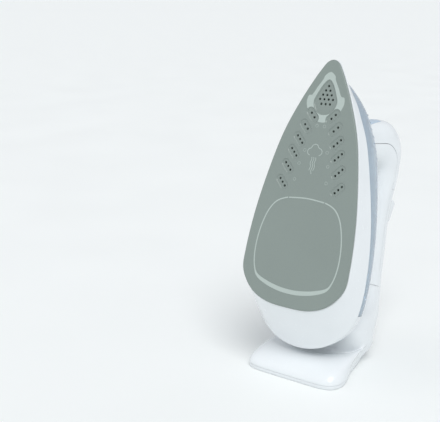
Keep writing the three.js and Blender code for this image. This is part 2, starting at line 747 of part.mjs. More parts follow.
function glandCup() {
  const block = box([-11, GLAND_Y - 9, GLAND.height - 10], [11, GLAND_Y - 1.5, GLAND.height + 10]);
  const seat = new THREE.SphereGeometry(GLAND.radius + GAP, 14, 10).translate(0, GLAND_Y, GLAND.height);
  const way = new THREE.CylinderGeometry(5, 5, 40, 16).translate(0, GLAND_Y, GLAND.height);
  return cut(block, seat, way);
}

// ---------------------------------------------------------------- assembly

const materials = {
  soleCoat: [0x99a6a2, 0.45, 0.5],
  metal: [0xb9bcbc, 0.4, 0.9],
  white: [0xf2f5f6, 0.3, 0],
  tank: [0xb6cbdd, 0.12, 0],
  blue: [0x7f9fb8, 0.35, 0],
  grey: [0x8b9094, 0.5, 0],
  dark: [0x2d2f31, 0.6, 0],
  heat: [0xd8cfae, 0.7, 0],
  silicone: [0xe4e6e2, 0.6, 0],
  amber: [0xe8912a, 0.2, 0],
  brass: [0xb5934b, 0.4, 0.9],
};

const own = new THREE.Group();
own.position.z = SOLE_REAR_HEIGHT;
own.rotation.x = -LEAN;
const iron = new THREE.Group();
iron.position.y = -MIDDLE_Y;
iron.add(own);

function add(group, name, geometry, look) {
  const [color, roughness, metalness] = materials[look];
  const mesh = new THREE.Mesh(geometry, new THREE.MeshStandardMaterial({ color, roughness, metalness }));
  mesh.name = name;
  group.add(mesh);
}

const housing = rearHousingBlank();
const cap = frontCapBlank();
const upper = handleUpperBlank();

add(own, 'soleplate', soleplate(), 'soleCoat');
add(own, 'heating_element', heatingElement(ELEMENT.radius), 'metal');
add(own, 'chamber_cover', chamberCover(), 'metal');
add(own, 'heat_shield', heatShield(), 'heat');
add(own, 'thermostat', post(0, DIAL.s, 11, CASTING_TOP + 1.8, 18.5), 'metal');
add(own, 'thermostat_shaft', post(0, DIAL.s, 3, 18.8, DECK_TOP, 12), 'brass');
add(own, 'thermal_fuse', box([12, CASTING_TOP + 1.8, 25], [24, CASTING_TOP + 6, 30]), 'silicone');
add(own, 'drip_valve', sleeve(0, ROD.s, 4.4, 2.3, CASTING_TOP + 1.8, 24, 14), 'silicone');
add(own, 'valve_rod', post(0, ROD.s, ROD.radius, ROD.bottom, ROD.top, 10), 'metal');
add(own, 'skirt', skirt(), 'white');
add(own, 'tank_base', tankBase(), 'tank');
add(own, 'water_tank', tankUpper(), 'tank');
add(own, 'top_deck', topDeck(), 'white');
add(own, 'temperature_dial', temperatureDial(), 'blue');
add(own, 'filler_funnel', fillerElbow(), 'tank');
add(own, 'filler_lid', fillerLid(cap), 'blue');
add(own, 'spray_nozzle', sprayNozzle(), 'grey');
add(own, 'front_cap', frontCap(cap), 'white');
add(own, 'handle_upper', cut(upper, buttonRoom(), lensRoom(GAP / 2)), 'white');
add(own, 'handle_lower', halfShell(0, COLUMN_START, -1), 'white');
add(own, 'indicator_lens', common(upper, lensRoom(-GAP / 2)), 'amber');
add(own, 'indicator_lamp', post(0, 60, 2.5, 126, 136.5, 10), 'amber');
add(own, 'steam_slider', steamSlider(), 'blue');
for (const [side, use] of [[1, 'spray'], [-1, 'shot']]) {
  add(own, `${use}_button`, thumbButton(side), 'blue');
  add(own, `${use}_pump`, pumpBody(side), 'grey');
  add(own, `${use}_piston`, pumpPiston(side), 'silicone');
}
add(own, 'spray_hose', hose([
  [8.5, 112, PUMP.s + 6.4], [8, 114, 130], [9, 110, 150], [12, 98, 168], [12, 84, 175], [9.3, 73, 175], [6.8, 68.3, 178],
], 1.5, 22), 'silicone');
add(own, 'shot_hose', hose([
  [-8.5, 112, PUMP.s + 6.4], [-8, 114, 130], [-9, 110, 150], [-11, 95, 163], [-9, 74, 163], [-7, 64, 161],
], 1.5, 20), 'silicone');
add(own, 'rear_housing', rearHousing(housing), 'white');
add(own, 'rear_cover', rearCover(housing), 'white');

add(iron, 'heel_base_cover', heelBaseCover(), 'white');
BASE_SCREWS.forEach(([x, y], i) => {
  add(iron, `heel_screw_${i ? 'right' : 'left'}`, screw(x, y, 0.4, 9), 'metal');
});
add(iron, 'cord_gland', cordGland(), 'dark');
add(iron, 'gland_cup', glandCup(), 'grey');
add(iron, 'terminal_block', box([-15, 85, 22], [15, 97, 32]), 'silicone');

export default iron;
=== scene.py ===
"""Steam iron on its heel rest: the finished surfaces and materials round the fixed frame.

Lengths in the shape code are millimetres in the iron's own frame, x across, t up from the
ironing face, s along the soleplate; `own` turns them into metres in the frame's axes.
"""
import json
import math

import bmesh
import bpy
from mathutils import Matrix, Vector


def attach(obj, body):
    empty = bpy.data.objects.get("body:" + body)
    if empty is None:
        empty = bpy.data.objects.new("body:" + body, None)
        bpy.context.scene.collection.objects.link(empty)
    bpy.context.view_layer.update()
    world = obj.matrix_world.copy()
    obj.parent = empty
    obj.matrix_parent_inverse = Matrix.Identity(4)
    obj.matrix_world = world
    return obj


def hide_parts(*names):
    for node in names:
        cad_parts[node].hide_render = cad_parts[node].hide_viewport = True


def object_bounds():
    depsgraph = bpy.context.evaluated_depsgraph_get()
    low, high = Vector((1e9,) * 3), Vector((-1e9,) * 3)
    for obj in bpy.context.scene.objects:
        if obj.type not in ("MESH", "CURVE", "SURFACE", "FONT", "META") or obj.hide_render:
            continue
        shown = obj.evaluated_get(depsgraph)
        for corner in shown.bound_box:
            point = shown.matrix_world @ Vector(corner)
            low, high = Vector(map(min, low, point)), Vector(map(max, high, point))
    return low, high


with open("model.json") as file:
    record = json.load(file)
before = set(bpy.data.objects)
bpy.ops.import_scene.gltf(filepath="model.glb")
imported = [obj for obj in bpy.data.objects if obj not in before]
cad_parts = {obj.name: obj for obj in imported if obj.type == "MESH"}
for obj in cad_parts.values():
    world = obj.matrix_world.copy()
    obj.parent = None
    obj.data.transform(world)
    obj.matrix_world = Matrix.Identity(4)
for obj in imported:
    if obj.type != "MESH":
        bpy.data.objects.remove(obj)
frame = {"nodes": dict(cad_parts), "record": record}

CAD_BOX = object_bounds()

MM = 0.001
LEAN = math.radians(17.91)      # soleplate's lean back from upright
SOLE_REAR_HEIGHT = 71.3         # the soleplate's rear edge above the floor
HEEL_FRONT = 3                  # heel's front edge behind the soleplate's rear edge
MIDDLE_Y = 90.9                 # origin behind the soleplate's rear edge
WIDEST_S = 45                   # where the soleplate is widest
HALF_WIDTH = 56.3               # of the soleplate there
TANK_TOP = 58                   # the tank's flat top above the ironing face
DECK_TOP = 62.7                 # the deck's top above the ironing face
HOUSING_CUT = 5                 # where the rear moulding ends and the tank begins
HEEL_BASE = 4                   # thickness of the plate under the heel
GAP = 0.3                       # seam between neighbouring pieces
WALL = 2.4                      # thickness of the mouldings
PLATE_GAP = 2.6                 # the skirt's lower edge above the ironing face
DIAL_S = 74                     # the dial's axis
ROD_S = 160                     # the valve rod's way through the tank and the deck
MOUTH_S = 171.9                 # the filler's way through the tank and the deck
NOZZLE_T = 68                   # the spray nozzle's axis above the ironing face
GLAND_Y = 124                   # the cord gland's ball, behind the soleplate's rear edge
GLAND_Z = 50                    # the same, above the floor
SCREW_X = 28                    # the heel screws, to each side of the middle
SCREW_Y = 50                    # the same, behind the soleplate's rear edge
REMESH_SIZE = 0.9               # voxel size when the rear moulding's joins are softened
SPARE = 6                       # extra length trimmed off after that
HEEL_CREST = 20                 # the heel slab's top above the floor
COLUMN_Y = 70                   # middle of the column's foot, behind the heel's front edge
OUTLINE_POINTS = 240
SECTION_POINTS = 96
EDGE_SOFTNESS = 0.3             # radius of a moulded edge as light shows it
EASE = 3                        # outer edge of a shell that may be eased back inside the CAD box
EDGE_SPARE = 0.01               # how far inside that box it then stays

AXIS_T = Vector((0, math.cos(LEAN), -math.sin(LEAN)))
AXIS_S = Vector((0, math.sin(LEAN), math.cos(LEAN)))
SOLE_ORIGIN = Vector((0, -MIDDLE_Y, SOLE_REAR_HEIGHT))


def own(x, t, s):
    """A point of the iron's own frame, in metres in the frame's axes."""
    return (SOLE_ORIGIN + Vector((x, 0, 0)) + AXIS_T * t + AXIS_S * s) * MM


# ---------------------------------------------------------------- camera, floor, light

def make_camera():
    """The camera of the reference view, on the iron's right and in front of its sole."""
    data = bpy.data.cameras.new("camera")
    data.sensor_width = 36
    data.lens = 74.63
    camera = bpy.data.objects.new("camera", data)
    bpy.context.scene.collection.objects.link(camera)
    camera.location = Vector((441.6, -651.4 - MIDDLE_Y, 277.6 + SOLE_REAR_HEIGHT)) * MM
    forward = Vector((-0.6051, 0.7615, -0.2324))
    camera.rotation_euler = forward.to_track_quat("-Z", "Y").to_euler()
    bpy.context.scene.camera = camera


def soft_sun(name, direction, energy, angle):
    """Even light from one side of the sky, soft as a large diffuser; `angle` in degrees."""
    data = bpy.data.lights.new(name, "SUN")
    data.energy = energy
    data.angle = math.radians(angle)
    light = bpy.data.objects.new(name, data)
    light.rotation_euler = Vector(direction).to_track_quat("-Z", "Y").to_euler()
    bpy.context.scene.collection.objects.link(light)


def make_studio():
    bpy.context.scene.view_settings.view_transform = "Standard"
    world = bpy.data.worlds.new("studio")
    bpy.context.scene.world = world
    world.use_nodes = True
    background = world.node_tree.nodes["Background"]
    background.inputs["Color"].default_value = (0.93, 0.96, 1, 1)
    background.inputs["Strength"].default_value = 0.58
    soft_sun("key", (-0.55, 0.5, -1), 1.6, 35)
    soft_sun("left_fill", (0.9, 0.75, -0.35), 0.36, 60)
    mesh = bpy.data.meshes.new("floor")
    mesh.from_pydata([(-60, -60, 0), (60, -60, 0), (60, 60, 0), (-60, 60, 0)], [], [(0, 1, 2, 3)])
    floor = bpy.data.objects.new("floor", mesh)
    bpy.context.scene.collection.objects.link(floor)
    floor.data.materials.append(floor_material())


# ---------------------------------------------------------------- node helpers

class Shader:
    """A small helper that builds one principled material from nodes."""

    def __init__(self, name, colour, roughness, metallic=0.0):
        self.material = bpy.data.materials.new(name)
        self.material.use_nodes = True
        self.tree = self.material.node_tree
        self.principled = self.tree.nodes["Principled BSDF"]
        self.set("Base Color", (*colour, 1))
        self.set("Roughness", roughness)
        self.set("Metallic", metallic)
        self.coordinates = self.tree.nodes.new("ShaderNodeTexCoord").outputs["Object"]

    def set(self, socket, value):
        self.principled.inputs[socket].default_value = value

    def link(self, source, target):
        self.tree.links.new(source, target)

    def noise(self, scale, detail=4.0, roughness=0.5, stretch=None):
        """A noise pattern; `scale` is in features per metre."""
        node = self.tree.nodes.new("ShaderNodeTexNoise")
        node.inputs["Scale"].default_value = scale
        node.inputs["Detail"].default_value = detail
        node.inputs["Roughness"].default_value = roughness
        source = self.coordinates
        if stretch:
            mapping = self.tree.nodes.new("ShaderNodeMapping")
            mapping.inputs["Scale"].default_value = stretch
            mapping.inputs["Rotation"].default_value = (LEAN, 0, 0)
            self.link(source, mapping.inputs["Vector"])
            source = mapping.outputs["Vector"]
        self.link(source, node.inputs["Vector"])
        return node.outputs["Fac"]

    def spread(self, source, low, high, start=0.3, end=0.7):
        """Maps a pattern's start..end to low..high."""
        node = self.tree.nodes.new("ShaderNodeMapRange")
        node.inputs["From Min"].default_value = start
        node.inputs["From Max"].default_value = end
        node.inputs["To Min"].default_value = low
        node.inputs["To Max"].default_value = high
        self.link(source, node.inputs["Value"])
        return node.outputs["Result"]

    def mix(self, share, first, second):
        """A colour between two, by a pattern."""
        node = self.tree.nodes.new("ShaderNodeMix")
        node.data_type = "RGBA"
        for socket, value in ((6, first), (7, second)):
            if hasattr(value, "is_output"):
                self.link(value, node.inputs[socket])
            else:
                node.inputs[socket].default_value = (*value, 1)
        self.link(share, node.inputs[0])
        return node.outputs[2]

    def colour_from(self, source):
        self.link(source, self.principled.inputs["Base Color"])

    def roughness_from(self, source):
        self.link(source, self.principled.inputs["Roughness"])

    def bump(self, source, distance, strength=1.0):
        """Adds relief, on top of any that is there; `distance` is in metres."""
        node = self.tree.nodes.new("ShaderNodeBump")
        node.inputs["Distance"].default_value = distance
        node.inputs["Strength"].default_value = strength
        self.link(source, node.inputs["Height"])
        normal = self.principled.inputs["Normal"]
        if normal.is_linked:
            self.link(normal.links[0].from_socket, node.inputs["Normal"])
        self.link(node.outputs["Normal"], normal)

    def soft_edges(self, radius):
        """Catches light on every edge as a real moulded corner does; `radius` in millimetres."""
        node = self.tree.nodes.new("ShaderNodeBevel")
        node.samples = 4
        node.inputs["Radius"].default_value = radius * MM
        self.link(node.outputs["Normal"], self.principled.inputs["Normal"])


def floor_material():
    shader = Shader("studio_floor", (0.93, 0.95, 0.94), 0.6)
    shader.roughness_from(shader.spread(shader.noise(6), 0.5, 0.7))
    return shader.material


# ---------------------------------------------------------------- curves and outlines

def curve_point(points, u, closed=False):
    """A point on a centripetal Catmull-Rom curve; u counts the curve's own points."""
    count = len(points)
    i = int(u) if closed else min(int(u), count - 2)
    share = u - i
    before = points[i - 1] if closed or i else points[0] * 2 - points[1]
    start = points[i % count]
    end = points[(i + 1) % count]
    after = points[(i + 2) % count] if closed or i + 2 < count else points[-1] * 2 - points[-2]
    gap0 = math.sqrt((start - before).length)
    gap1 = math.sqrt((end - start).length)
    gap2 = math.sqrt((after - end).length)
    leave = ((start - before) / gap0 - (end - before) / (gap0 + gap1) + (end - start) / gap1) * gap1
    arrive = ((end - start) / gap1 - (after - start) / (gap1 + gap2) + (after - end) / gap2) * gap1
    square = end * 3 - start * 3 - leave * 2 - arrive
    cube = start * 2 - end * 2 + leave + arrive
    return start + leave * share + square * share ** 2 + cube * share ** 3


def evenly(points, steps):
    """The same line again, as steps + 1 points at even distances."""
    lengths = [0]
    for a, b in zip(points, points[1:]):
        lengths.append(lengths[-1] + (b - a).length)
    result = []
    i = 0
    for step in range(steps + 1):
        wanted = lengths[-1] * step / steps
        while i < len(points) - 2 and lengths[i + 1] < wanted:
            i += 1
        share = (wanted - lengths[i]) / (lengths[i + 1] - lengths[i])
        result.append(points[i].lerp(points[i + 1], share))
    return result


def outline(half, count=OUTLINE_POINTS):
    """A smooth closed outline, the same on both sides, from the points of its right half."""
    right = [Vector(point) for point in half]
    left = [Vector((-x, s)) for x, s in reversed(half[1:-1])]
    corners = right + left
    fine = 24
    line = [curve_point(corners, i / fine, True) for i in range(fine * (len(half) - 1) + 1)]
    side = evenly(line, count // 2)
    side[0].x = 0
    side[-1].x = 0
    return side + [Vector((-point.x, point.y)) for point in reversed(side[1:-1])]


def rear_arc(centre_s, depth, half_width):
    """Points of a quarter ellipse round the rear of an outline, ending in the middle."""
    points = []
    for degrees in (20, 40, 60, 75, 90):
        angle = math.radians(degrees)
        across = 0 if degrees == 90 else half_width * math.cos(angle)
        points.append((across, centre_s - depth * math.sin(angle)))
    return points


def grow(points, distance):
    """Moves every point square to the edge: outwards if the outline starts at the tip."""
    count = len(points)
    result = []
    for i, point in enumerate(points):
        along = (points[(i + 1) % count] - points[i - 1]).normalized()
        result.append(Vector((point.x - along.y * distance, point.y + along.x * distance)))
    return result


def shrink(points, distance):
    """Scales an outline about its widest place, so its sides move in by `distance`."""
    scale = 1 - distance / HALF_WIDTH
    return [Vector((p.x * scale, WIDEST_S + (p.y - WIDEST_S) * scale)) for p in points]


def blend(first, second, share):
    return [a.lerp(b, share) for a, b in zip(first, second)]


def level(points, height):
    """A ring of an outline's points at one height above the ironing face."""
    return [own(point.x, height, point.y) for point in points]


SOLE = outline([
    (0, 230), (5.6, 227.6), (11.1, 220), (16.9, 210), (26.9, 190), (38.8, 160), (48.1, 120),
    (54.2, 80), (HALF_WIDTH, WIDEST_S), (55.4, 28), (49, 16.6), (38, 7), (22, 1.3), (0, 0),
])
RIM = outline([
    (0, 217.5), (4.8, 215.5), (11, 210), (18, 202.8), (25.3, 193.3), (30.3, 183.8),
    (40.6, 160.5), (50, 120.5), (56.1, 80), (58.2, 46), (57.5, 15), *rear_arc(15, 51, 57.5),
])
TOP = outline([
    (0, 184), (6.5, 181.5), (13.5, 174), (20.5, 162), (27, 146), (33, 118), (37.5, 80),
    (39, 46), (38.5, 20), *rear_arc(20, 36, 38.5),
])
HEEL_FOOT = outline([
    (0, 0), (20, 0.1), (37, 0.9), (45.6, 4.4), (49.4, 11), (50, 20), (46.2, 34), (41, 48), (37, 63),
    (33, 78), (26.5, 92), (15, 101), (0, 104),
])
HEEL_TOP = outline([
    (0, 25), (11.5, 26.5), (22.2, 31), (31.5, 38), (38.5, 47.2), (43, 58), (43.6, 68), (40.5, 80),
    (35.5, 92), (27, 103), (14.5, 110), (0, 112.5),
])
TIP_PAD = outline([
    (0, 210.3), (3.5, 207.5), (9, 197.5), (11.4, 190.5), (9, 183.5), (4.5, 180.2), (0, 179.3),
], 120)
LIGHT_ZONE = outline([
    (0, 218.3), (5.5, 214.5), (6.3, 211.8), (11, 204), (15.9, 196), (18.5, 195.8), (19.9, 190),
    (17, 182), (9, 174), (0, 171.3),
], 120)
PRESS_LINE = outline([
    (0, 101.4), (15, 100.4), (22, 99.4), (31.6, 95), (38.6, 86), (43.4, 72), (45.7, 56), (45.4, 42),
    (43, 31), (38.5, 22.5), (26, 16.5), (10, 13.2), (0, 12.7),
], 200)


def smoothstep(value, low, high):
    share = min(1, max(0, (value - low) / (high - low)))
    return share * share * (3 - 2 * share)


def waterline(s):
    """Height of the edge between the skirt and the tank."""
    return 13 + 20.5 * (1 - smoothstep(s, 10, 212))


# ---------------------------------------------------------------- mesh helpers

def make_object(name, points, faces):
    mesh = bpy.data.meshes.new(name)
    mesh.from_pydata(points, [], faces)
    shape = bmesh.new()
    shape.from_mesh(mesh)
    bmesh.ops.recalc_face_normals(shape, faces=shape.faces)
    shape.to_mesh(mesh)
    shape.free()
    piece = bpy.data.objects.new(name, mesh)
    bpy.context.scene.collection.objects.link(piece)
    return piece


def skin(name, rings, closed=False):
    """A surface through rings of the same number of points; `closed` joins last to first."""
    count = len(rings[0])
    total = count * len(rings)
    points = [point for ring in rings for point in ring]
    faces = []
    for r in range(len(rings) - (0 if closed else 1)):
        for i in range(count):
            a = r * count + i
            b = r * count + (i + 1) % count
            faces.append((a, b, (b + count) % total, (a + count) % total))
    if not closed:
        faces.append(tuple(range(count)))
        faces.append(tuple(range(total - count, total)))
    return make_object(name, points, faces)


def settle(piece):
    """Applies a piece's modifiers."""
    depsgraph = bpy.context.evaluated_depsgraph_get()
    mesh = bpy.data.meshes.new_from_object(piece.evaluated_get(depsgraph))
    old = piece.data
    piece.modifiers.clear()
    piece.data = mesh
    mesh.name = piece.name
    bpy.data.meshes.remove(old)


def combine(piece, others, operation):
    """Adds, cuts or keeps the common part of closed shapes; the others are used up."""
    for other in others:
        modifier = piece.modifiers.new(operation, "BOOLEAN")
        modifier.operation = operation
        modifier.solver = "MANIFOLD"
        modifier.object = other
        settle(piece)
        bpy.data.objects.remove(other)
    return piece


def cut(piece, *others):
    return combine(piece, others, "DIFFERENCE")


def join(piece, *others):
    return combine(piece, others, "UNION")


def common(piece, *others):
    return combine(piece, others, "INTERSECT")


def copy(piece, name):
    twin = piece.copy()
    twin.data = piece.data.copy()
    twin.name = name
    bpy.context.scene.collection.objects.link(twin)
    return twin


def keep_inside(piece):
    """Eases the outermost few millimetres of a shell back inside the CAD part's box."""
    points = [vertex.co for vertex in piece.data.vertices]
    for axis in (0, 1):
        for side, edge in ((-1, CAD_BOX[0][axis]), (1, CAD_BOX[1][axis])):
            limit = edge - side * EDGE_SPARE * MM
            reach = max(side * (point[axis] - limit) for point in points)
            if reach <= 0:
                continue
            start = limit - side * EASE * MM
            share = EASE * MM / (EASE * MM + reach)
            for point in points:
                if side * (point[axis] - start) > 0:
                    point[axis] = start + (point[axis] - start) * share
    return piece


def rounded(piece, width, segments=3, angle=35):
    """Rounds the sharp edges of a piece; `width` is in millimetres."""
    modifier = piece.modifiers.new("round", "BEVEL")
    modifier.width = width * MM
    modifier.segments = segments
    modifier.limit_method = "ANGLE"
    modifier.angle_limit = math.radians(angle)
    modifier.harden_normals = False
    settle(piece)
    return piece


def smooth(piece, angle=32):
    """Smooth shading that keeps edges sharper than `angle`."""
    shape = bmesh.new()
    shape.from_mesh(piece.data)
    limit = math.radians(angle)
    for face in shape.faces:
        face.smooth = True
    for edge in shape.edges:
        edge.smooth = len(edge.link_faces) == 2 and edge.calc_face_angle(0) < limit
    shape.to_mesh(piece.data)
    shape.free()
    return piece


def box(name, low, high, place=own):
    """A box between two corners given in the iron's own frame, or in another by `place`."""
    corners = [(i, j, k) for i in (0, 1) for j in (0, 1) for k in (0, 1)]
    points = [place(*(high[n] if corner[n] else low[n] for n in range(3))) for corner in corners]
    faces = [(0, 1, 3, 2), (4, 6, 7, 5), (0, 4, 5, 1), (2, 3, 7, 6), (0, 2, 6, 4), (1, 5, 7, 3)]
    return make_object(name, points, faces)


def turned(name, profile, sides, place):
    """A solid of revolution from (radius, height) points; `place` maps x, height, y."""
    rings = []
    for radius, height in profile:
        ring = []
        for i in range(sides):
            angle = 2 * math.pi * i / sides
            ring.append(place(radius * math.cos(angle), height, radius * math.sin(angle)))
        rings.append(ring)
    return skin(name, rings)


def post(name, x, s, profile, sides=32):
    """A turned solid that stands on the plate, its axis along t."""
    return turned(name, profile, sides, lambda a, t, b: own(x + a, t, s + b))


def standing(x, y, z):
    """A point given behind the soleplate's rear edge and above the floor."""
    return Vector((x, y - MIDDLE_Y, z)) * MM


def floor_ring(points, height):
    return [standing(point.x, point.y + HEEL_FRONT, height) for point in points]


# ---------------------------------------------------------------- soleplate

# The right half's vents, each as x, s and its number of holes
VENTS = [
    (10.9, 177.6, 2), (15.75, 166.4, 2), (20, 154.2, 3), (23.7, 141.8, 3), (27.2, 128, 3), (30, 112.7, 3),
]
VENT_TURN = math.radians(46)
VENT_LENGTH = 15.5
VENT_WIDTH = 7.3
HOLE_SPACING = {2: 5.4, 3: 4.4}
# The tip pad's rows of holes, each as s and its number of holes
TIP_ROWS = [(205.4, 1), (201.2, 2), (197.1, 3), (193, 4), (188.6, 3)]
TIP_PITCH = 4.55
# A recess's rim and wall, as (distance outside its outline, depth into the plate)
RIM_PROFILE = [
    (0.9, -0.5), (0.9, 0), (0.6, 0.06), (0.3, 0.2), (0.08, 0.42), (-0.1, 0.62), (-0.4, 0.76), (-0.8, 0.8),
]


def oval(x, s, turn, grown):
    """Outline of an oval recess, its edge moved out by `grown`."""
    radius = VENT_WIDTH / 2 + grown
    reach = (VENT_LENGTH - VENT_WIDTH) / 2
    points = []
    for i in range(48):
        angle = 2 * math.pi * i / 48
        along = radius * math.cos(angle) + (reach if math.cos(angle) >= 0 else -reach)
        across = radius * math.sin(angle)
        points.append(Vector((
            x + along * math.cos(turn) - across * math.sin(turn),
            s + along * math.sin(turn) + across * math.cos(turn))))
    return points


def hole(x, s):
    """A steam hole with a softened mouth."""
    profile = [(1.35, 0.5), (1.35, 0.8), (1.2, 0.87), (1.1, 1.0), (1.1, 6)]
    return post("hole", x, s, profile, 20)


def soleplate():
    edge = [(-1.3, 0.02), (-0.9, 0.0), (-0.45, 0.12), (-0.14, 0.4), (0, 0.8), (0, 1.9), (-0.2, 2.3)]
    rings = [level(grow(SOLE, out), height) for out, height in edge]
    rings += [level(shrink(SOLE, 6), 2.3), level(shrink(SOLE, 6.8), 10)]
    plate = skin("soleplate_cast", rings)
    chamber = skin("chamber", [level(shrink(SOLE, 18), 4), level(shrink(SOLE, 18), 11)])
    cutters = [chamber, skin("pad", [level(grow(TIP_PAD, out), height) for out, height in RIM_PROFILE])]
    for x, s, holes in VENTS:
        for side in (1, -1):
            turn = VENT_TURN if side > 0 else math.pi - VENT_TURN
            cutters.append(skin("vent", [level(oval(side * x, s, turn, out), t) for out, t in RIM_PROFILE]))
            for i in range(holes):
                along = (i - (holes - 1) / 2) * HOLE_SPACING[holes]
                cutters.append(hole(side * x + along * math.cos(turn), s + along * math.sin(turn)))
    for s, holes in TIP_ROWS:
        for i in range(holes):
            cutters.append(hole((i - (holes - 1) / 2) * TIP_PITCH, s))
    plate = smooth(cut(plate, *cutters), 40)
    even = plate.modifiers.new("even_normals", "WEIGHTED_NORMAL")
    even.keep_sharp = True
    even.weight = 100
    return plate


def decal(name, outer, inner=None, height=-0.03):
    """Print a few hundredths of a millimetre thick on the ironing face; `inner` leaves a hole."""
    top = 0.06
    if inner:
        rings = [level(outer, height), level(outer, top), level(inner, top), level(inner, height)]
        return skin(name, rings, closed=True)
    return skin(name, [level(outer, height), level(outer, top)])


def ring_points(x, s, radius, count=24):
    points = []
    for i in range(count):
        angle = 2 * math.pi * i / count
        points.append(Vector((x + radius * math.sin(angle), s + radius * math.cos(angle))))
    return points


def stroke(name, points, width):
    """A printed line of even width, its ends cut square."""
    line = [Vector(point) for point in points]
    along = [(line[min(i + 1, len(line) - 1)] - line[max(i - 1, 0)]).normalized() for i in range(len(line))]
    right = [p + Vector((a.y, -a.x)) * width / 2 for p, a in zip(line, along)]
    left = [p - Vector((a.y, -a.x)) * width / 2 for p, a in zip(line, along)]
    return decal(name, right + left[::-1])


def sole_print():
    """All the print on the ironing face, as one thin piece."""
    wide_foot = [point.copy() for point in grow(PRESS_LINE, -1.1)]
    for point in wide_foot:
        point.y += 2.9 * (1 - smoothstep(point.y, 14, 34))
    zone = decal("zone", LIGHT_ZONE, grow(TIP_PAD, 1.1))
    press = decal("press_line", PRESS_LINE, wide_foot)
    for side in (-1, 1):
        turn = VENT_TURN if side > 0 else math.pi - VENT_TURN
        x, s, _ = VENTS[0]
        cut(zone, skin("clear", [level(oval(side * x, s, turn, 0.9), t) for t in (-1, 1)]))
        cut(press, box("break", (side * 19.5 - 0.5, -1, 96), (side * 19.5 + 0.5, 1, 103)))
    pieces = [zone, press]
    for x, s in [(12, 144.6), (15.5, 132), (17, 117), (4, 168)]:
        for side in (-1, 1):
            outer = ring_points(side * x, s, 1.5)
            inner = ring_points(side * x, s, 1.25)
            pieces.append(decal("mark", outer, inner))
    pieces += steam_cloud(-1, 143.5, 1.75)
    return merged(pieces, "sole_print")


def steam_cloud(x, s, size):
    """A plain cloud of three arcs over three wavy lines."""
    line = []
    for centre_x, centre_s, radius, start, end in [
            (-2.6, 0.2, 1.8, 265, 95), (-0.2, 2.2, 2.1, 165, 15), (2.6, 0.4, 1.8, 85, -85)]:
        for step in range(17):
            angle = math.radians(start + (end - start) * step / 16)
            along = centre_x + radius * math.cos(angle)
            up = centre_s + radius * math.sin(angle)
            line.append((x + size * along, s + size * up))
    pieces = [stroke("cloud", line, 0.6)]
    for i in (-1, 0, 1):
        wave = []
        for step in range(26 - 5 * abs(i)):
            wave.append((x + size * 1.2 * i + 0.45 * math.sin(step * 0.55), s - 4.5 - step * 0.62))
        pieces.append(stroke("wave", wave, 0.55))
    return pieces


def merged(pieces, name):
    """Joins pieces into one mesh without welding them."""
    shape = bmesh.new()
    for piece in pieces:
        shape.from_mesh(piece.data)
        bpy.data.objects.remove(piece)
    mesh = bpy.data.meshes.new(name)
    shape.to_mesh(mesh)
    shape.free()
    result = bpy.data.objects.new(name, mesh)
    bpy.context.scene.collection.objects.link(result)
    return result


# ---------------------------------------------------------------- skirt, tank and deck

def skirt():
    """The white skirt round the soleplate, hollow, its edges rounded."""
    bottom = grow(SOLE, 0.7)

    def ring(share, offset, lift=0):
        points = grow(blend(bottom, RIM, share), offset)
        rise = [PLATE_GAP + (waterline(p.y) - PLATE_GAP) * share + lift for p in points]
        return [own(p.x, t, p.y) for p, t in zip(points, rise)]

    wall = -WALL
    rings = [ring(0, -0.5), ring(0, -0.2, 0.06), ring(0, -0.05, 0.22), ring(0, 0, 0.5)]
    rings += [ring(0.06 + 0.88 * i / 12, 0) for i in range(13)]
    rings += [ring(1, 0, -0.5), ring(1, -0.08, -0.2), ring(1, -0.25, -0.05), ring(1, -0.5)]
    rings += [ring(1, wall), ring(0.5, wall), ring(0, wall)]
    return smooth(skin("skirt_shell", rings, closed=True), 60)


def shoulder_ring(inset, top, degrees, lift=0):
    angle = math.radians(degrees)
    points = grow(blend(RIM, TOP, 1 - math.cos(angle)), -inset)
    ring = []
    for point in points:
        start = waterline(point.y) + GAP
        ring.append(own(point.x, start + (top - start) * math.sin(angle) + lift, point.y))
    return ring


def shoulder(name, inset, top, below=0.0):
    """The solid body between the waterline and its flat top."""
    rings = [shoulder_ring(inset, top, 0, -below)] if below else [shoulder_ring(inset + 0.4, top, 0)]
    rings.append(shoulder_ring(inset, top, 0, 0.4))
    rings += [shoulder_ring(inset, top, 2 + 88 * i / 26) for i in range(27)]
    return skin(name, rings)


def front_of(s):
    return box("front", (-80, -10, s), (80, 90, 260))


def behind(s):
    return box("behind", (-80, -10, -90), (80, 90, s))


def water_tank():
    tank = common(shoulder("tank_shell", 0.4, TANK_TOP), front_of(HOUSING_CUT + GAP / 2))
    cavity = common(shoulder("cavity", 0.4 + WALL, TANK_TOP - WALL, 3), front_of(HOUSING_CUT + WALL))
    tank = cut(tank, cavity)
    well = post("well", 0, DIAL_S, [(12.4, 10), (12.4, 24.2)])
    shaft = post("shaft", 0, DIAL_S, [(5, 20), (5, 70)])
    rod = post("rod", 0, ROD_S, [(2.6, 20), (2.6, 70)])
    mouth = post("mouth", 0, MOUTH_S, [(6, 50), (6, 70)])
    return smooth(cut(tank, well, shaft, rod, mouth), 35)


def level_marks():
    """Short dashes up both sides of the tank, to fill it by."""
    pieces = []
    for side in (1, -1):
        for mark in range(7):
            pieces.append(tank_dash(side, 150 + 6.5 * mark, long=mark % 3 == 0))
    return merged(pieces, "level_marks")


